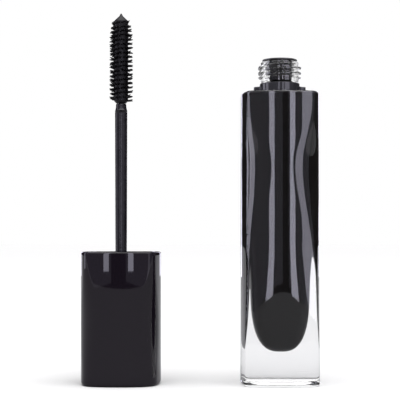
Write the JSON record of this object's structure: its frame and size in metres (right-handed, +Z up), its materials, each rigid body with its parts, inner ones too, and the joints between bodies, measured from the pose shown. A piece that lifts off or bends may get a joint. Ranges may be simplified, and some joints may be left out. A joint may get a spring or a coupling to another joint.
{
  "type": "mascara tube",
  "caption": "Open mascara tube: clear square bottle of black paste with a threaded neck, and a standing square black cap with its wand and moulded brush pointing up.",
  "frame": {"origin": "centre of the bottle's base", "axes": "+Z up along the bottle and the wand, the standing cap lies along -X, the faces of both square sections look along X and Y"},
  "size_m": [0.0624, 0.0208, 0.0972],
  "materials": {
    "clear_plastic": "thick clear moulded plastic, polished",
    "paste": "wet black mascara paste",
    "wiper_plastic": "soft black wiper plastic",
    "collar_plastic": "black moulded plastic",
    "cap_gloss": "deep gloss black",
    "inner_cap_plastic": "satin black moulded plastic",
    "liner_foam": "pale compressible seal",
    "stem_plastic": "satin black with a thin film of paste",
    "brush_elastomer": "moulded black elastomer, lightly coated with paste"
  },
  "bodies": {
    "bottle_side": {"bottle": "clear_plastic", "mascara_fill": "paste", "wiper": "wiper_plastic", "neck_collar": "collar_plastic"},
    "turned_wand": {"cap_liner": "liner_foam"},
    "lowered_wand": {"stem": "stem_plastic"},
    "screwed_wand": {"brush": "brush_elastomer"},
    "cap": {"overcap": "cap_gloss", "inner_cap": "inner_cap_plastic"}
  },
  "joints": [
    {"name": "wand_turnover", "type": "hinge", "parent": "bottle_side", "child": "turned_wand", "pos_m": [-0.02085, 0, 0.0926], "axis": [0, 1, 0], "range_deg": [0, 180]},
    {"name": "wand_lower", "type": "slide", "parent": "turned_wand", "child": "lowered_wand", "axis": [0, 0, 1], "range_m": [0, 0.07196], "deforming": ["wiper"]},
    {"name": "thread_travel", "type": "slide", "parent": "lowered_wand", "child": "screwed_wand", "axis": [0, 0, 1], "range_m": [0, 0.00274]},
    {"name": "cap_turn", "type": "hinge", "parent": "screwed_wand", "child": "cap", "pos_m": [-0.0417, 0, 0], "axis": [0, 0, 1], "range_deg": [0, 360], "deforming": ["cap_liner"]}
  ],
  "couplings": [
    {"joint": "thread_travel", "follows": "cap_turn", "m_per_rad": 0.000436}
  ]
}
